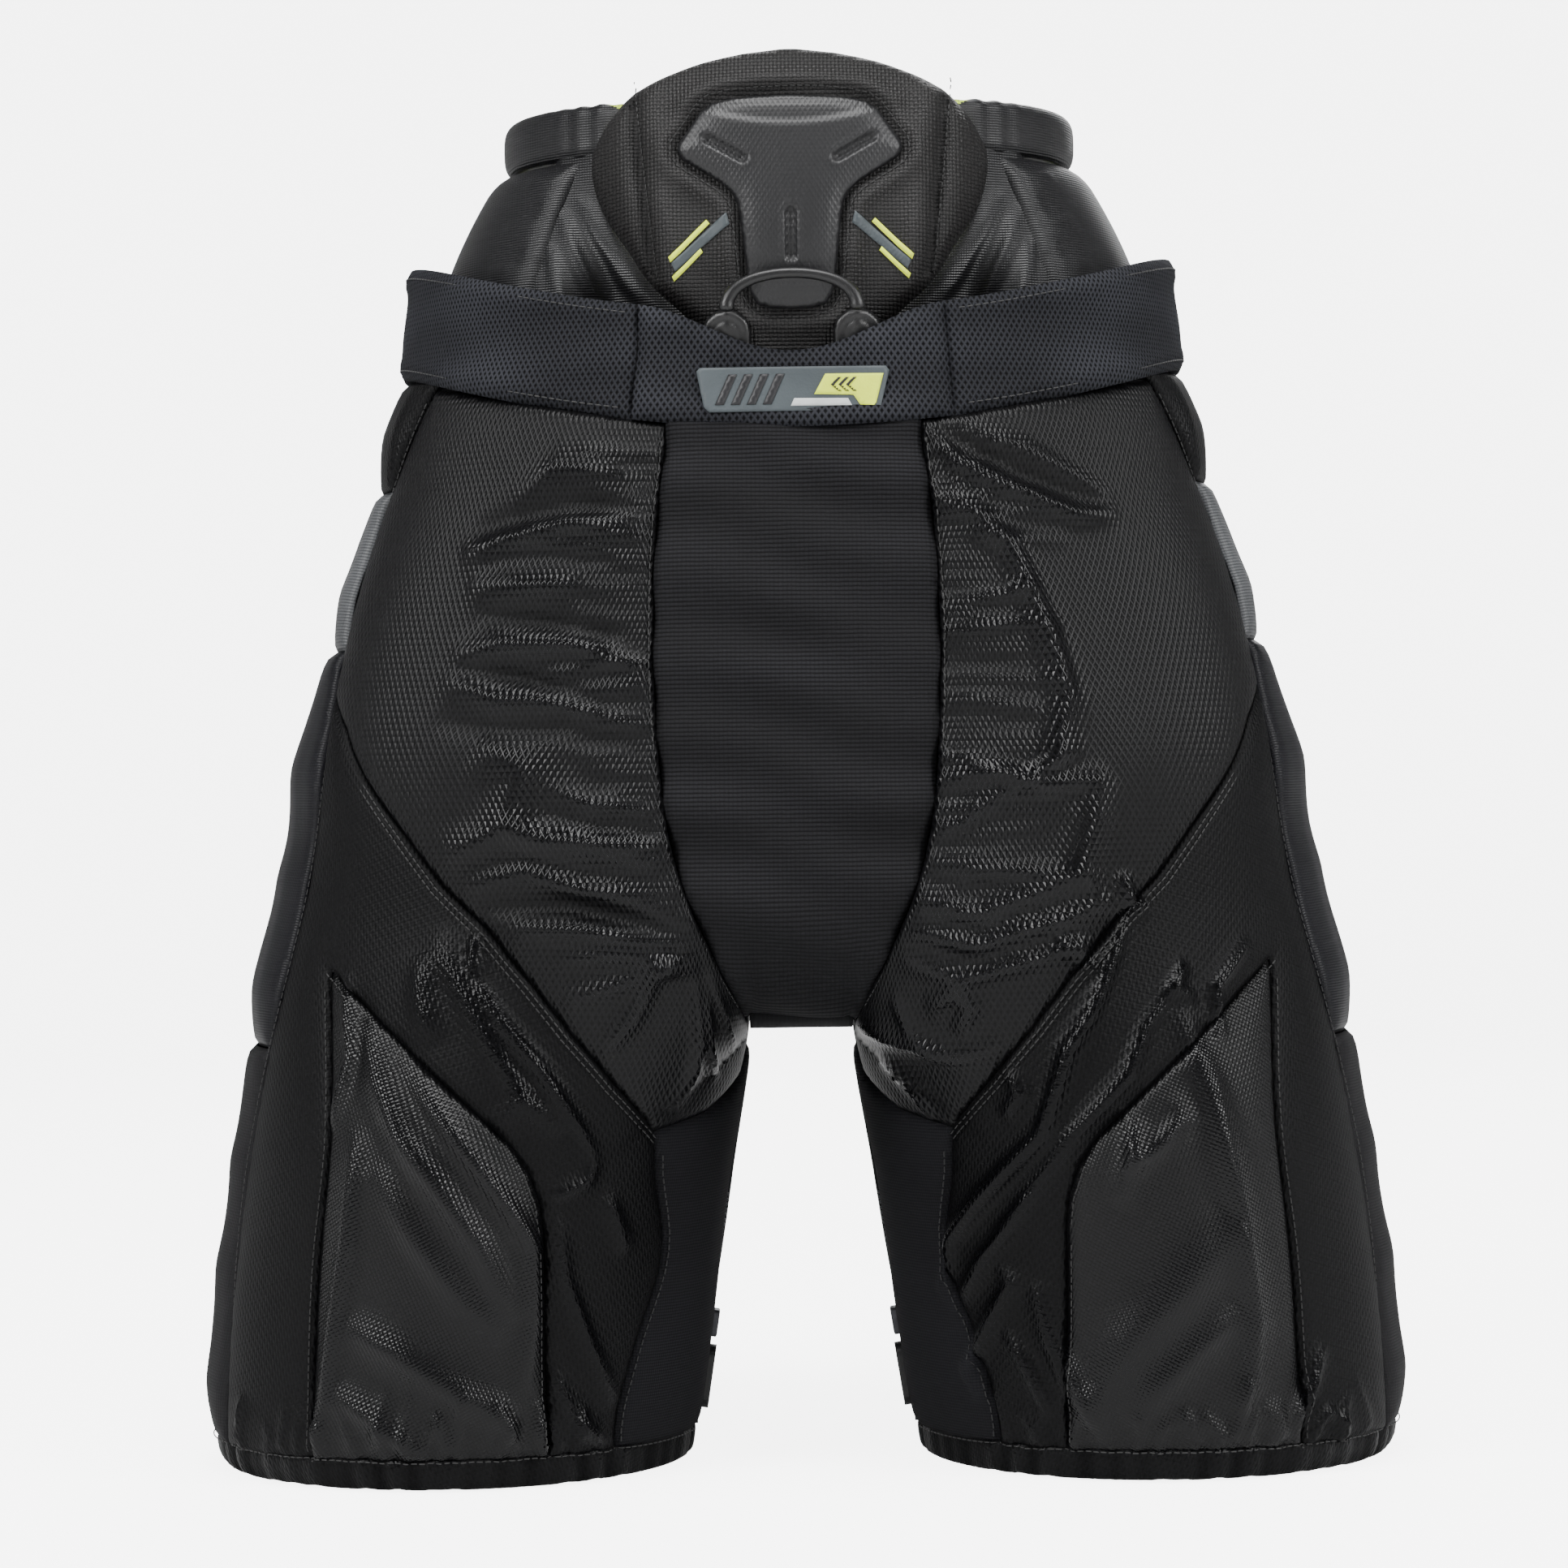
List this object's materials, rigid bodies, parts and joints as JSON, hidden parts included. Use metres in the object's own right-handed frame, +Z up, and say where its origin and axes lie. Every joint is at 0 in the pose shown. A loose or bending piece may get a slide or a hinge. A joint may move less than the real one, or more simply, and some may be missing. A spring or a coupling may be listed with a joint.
{
  "type": "padded ice hockey pants",
  "caption": "Padded ice hockey pants with a raised spine pad and moulded cap, kidney pads, wide belt, hip-hinged legs and inner-leg zips.",
  "frame": {"origin": "on the floor under the middle of the pants, which stand on their two leg hems", "axes": "+Z up, +X the wearer's right, +Y the wearer's front; the spine pad is at the back, towards -Y"},
  "size_m": [0.512, 0.254, 0.597],
  "materials": {
    "stretch_knit": "matte ribbed stretch knit",
    "mesh_nylon": "semi-gloss mesh nylon",
    "matte_nylon": "matte mesh nylon",
    "woven_nylon": "glossy woven nylon",
    "stripe_nylon": "grey nylon",
    "belt_knit": "ribbed mesh knit",
    "patch_print": "printed patch",
    "ballistic_nylon": "coarse ballistic weave",
    "satin_nylon": "satin ribbed nylon",
    "lime_lining": "lime lining over foam",
    "lining_nylon": "smooth lining",
    "foam": "closed-cell foam pad",
    "guard_plastic": "moulded plastic guard",
    "moulded_plastic": "matte moulded plastic, fine texture",
    "loop_rubber": "soft matte rubber",
    "webbing": "flat woven webbing",
    "zip_metal": "black painted metal"
  },
  "bodies": {
    "waist": {"centre_back_panel": "stretch_knit", "fly_underlay": "stretch_knit", "tailbone_pad": "foam", "crotch_gusset": "stretch_knit", "belt_back": "belt_knit", "belt_left": "belt_knit", "belt_right": "belt_knit", "belt_patch": "patch_print", "spine_pad_cover": "ballistic_nylon", "spine_pad_foam": "lime_lining", "spine_cap": "moulded_plastic", "buckle_socket": "moulded_plastic", "seat_panel_left": "mesh_nylon", "seat_panel_right": "mesh_nylon", "front_hip_panel_left": "mesh_nylon", "front_hip_panel_right": "mesh_nylon", "side_panel_upper_left": "matte_nylon", "side_panel_upper_right": "matte_nylon", "side_stripe_left": "stripe_nylon", "side_stripe_right": "stripe_nylon", "hip_pad_left": "foam", "hip_pad_right": "foam", "waist_lining_left": "lining_nylon", "waist_lining_right": "lining_nylon", "kidney_pad_left": "satin_nylon", "kidney_pad_right": "satin_nylon", "pleat_gusset_left": "satin_nylon", "pleat_gusset_right": "satin_nylon", "kidney_roll_left": "satin_nylon", "kidney_roll_right": "satin_nylon", "loop_anchor_left": "loop_rubber", "loop_anchor_right": "loop_rubber", "belt_strap_left": "webbing"},
    "left_leg": {"inner_gusset_left": "stretch_knit", "back_lower_panel_left": "woven_nylon", "thigh_back_panel_left": "matte_nylon", "side_panel_lower_left": "matte_nylon", "front_thigh_panel_left": "woven_nylon", "leg_lining_left": "lining_nylon", "thigh_guard_left": "guard_plastic", "hem_band_left": "woven_nylon", "zip_tape_left": "webbing"},
    "zip_slider_left": {"zip_slider_left": "zip_metal"},
    "zip_pull_left": {"zip_pull_left": "loop_rubber"},
    "right_leg": {"inner_gusset_right": "stretch_knit", "back_lower_panel_right": "woven_nylon", "thigh_back_panel_right": "matte_nylon", "side_panel_lower_right": "matte_nylon", "front_thigh_panel_right": "woven_nylon", "leg_lining_right": "lining_nylon", "thigh_guard_right": "guard_plastic", "hem_band_right": "woven_nylon", "zip_tape_right": "webbing"},
    "zip_slider_right": {"zip_slider_right": "zip_metal"},
    "zip_pull_right": {"zip_pull_right": "loop_rubber"},
    "pull_loop": {"pull_loop": "loop_rubber"},
    "fly_flap": {"fly_flap": "stretch_knit"},
    "buckle_tongue": {"buckle_tongue": "moulded_plastic", "belt_strap_right": "webbing"}
  },
  "joints": [
    {"name": "hip_left", "type": "hinge", "parent": "waist", "child": "left_leg", "pos_m": [-0.15, 0, 0.275], "axis": [1, 0, 0], "range_deg": [-15, 60]},
    {"name": "hip_right", "type": "hinge", "parent": "waist", "child": "right_leg", "pos_m": [0.15, 0, 0.275], "axis": [1, 0, 0], "range_deg": [-15, 60]},
    {"name": "pull_loop_swing", "type": "hinge", "parent": "waist", "child": "pull_loop", "pos_m": [0, -0.1165, 0.485], "axis": [1, 0, 0], "range_deg": [0, 100], "stiffness_Nm_per_rad": 0.01},
    {"name": "fly_flap_swing", "type": "hinge", "parent": "waist", "child": "fly_flap", "pos_m": [-0.0305, 0.1208, 0.376], "axis": [0, -0.106, 0.9944], "range_deg": [0, 100]},
    {"name": "buckle_slide", "type": "slide", "parent": "waist", "child": "buckle_tongue", "axis": [1, 0, 0], "range_m": [0, 0.03]},
    {"name": "zip_slide_left", "type": "slide", "parent": "left_leg", "child": "zip_slider_left", "axis": [0.1532, 0, 0.9882], "range_m": [0, 0.048]},
    {"name": "zip_pull_swing_left", "type": "hinge", "parent": "zip_slider_left", "child": "zip_pull_left", "pos_m": [-0.04104, 0, 0.04468], "axis": [0, -1, 0], "range_deg": [0, 120]},
    {"name": "zip_slide_right", "type": "slide", "parent": "right_leg", "child": "zip_slider_right", "axis": [-0.1532, 0, 0.9882], "range_m": [0, 0.048]},
    {"name": "zip_pull_swing_right", "type": "hinge", "parent": "zip_slider_right", "child": "zip_pull_right", "pos_m": [0.04104, 0, 0.04468], "axis": [0, 1, 0], "range_deg": [0, 120]}
  ]
}
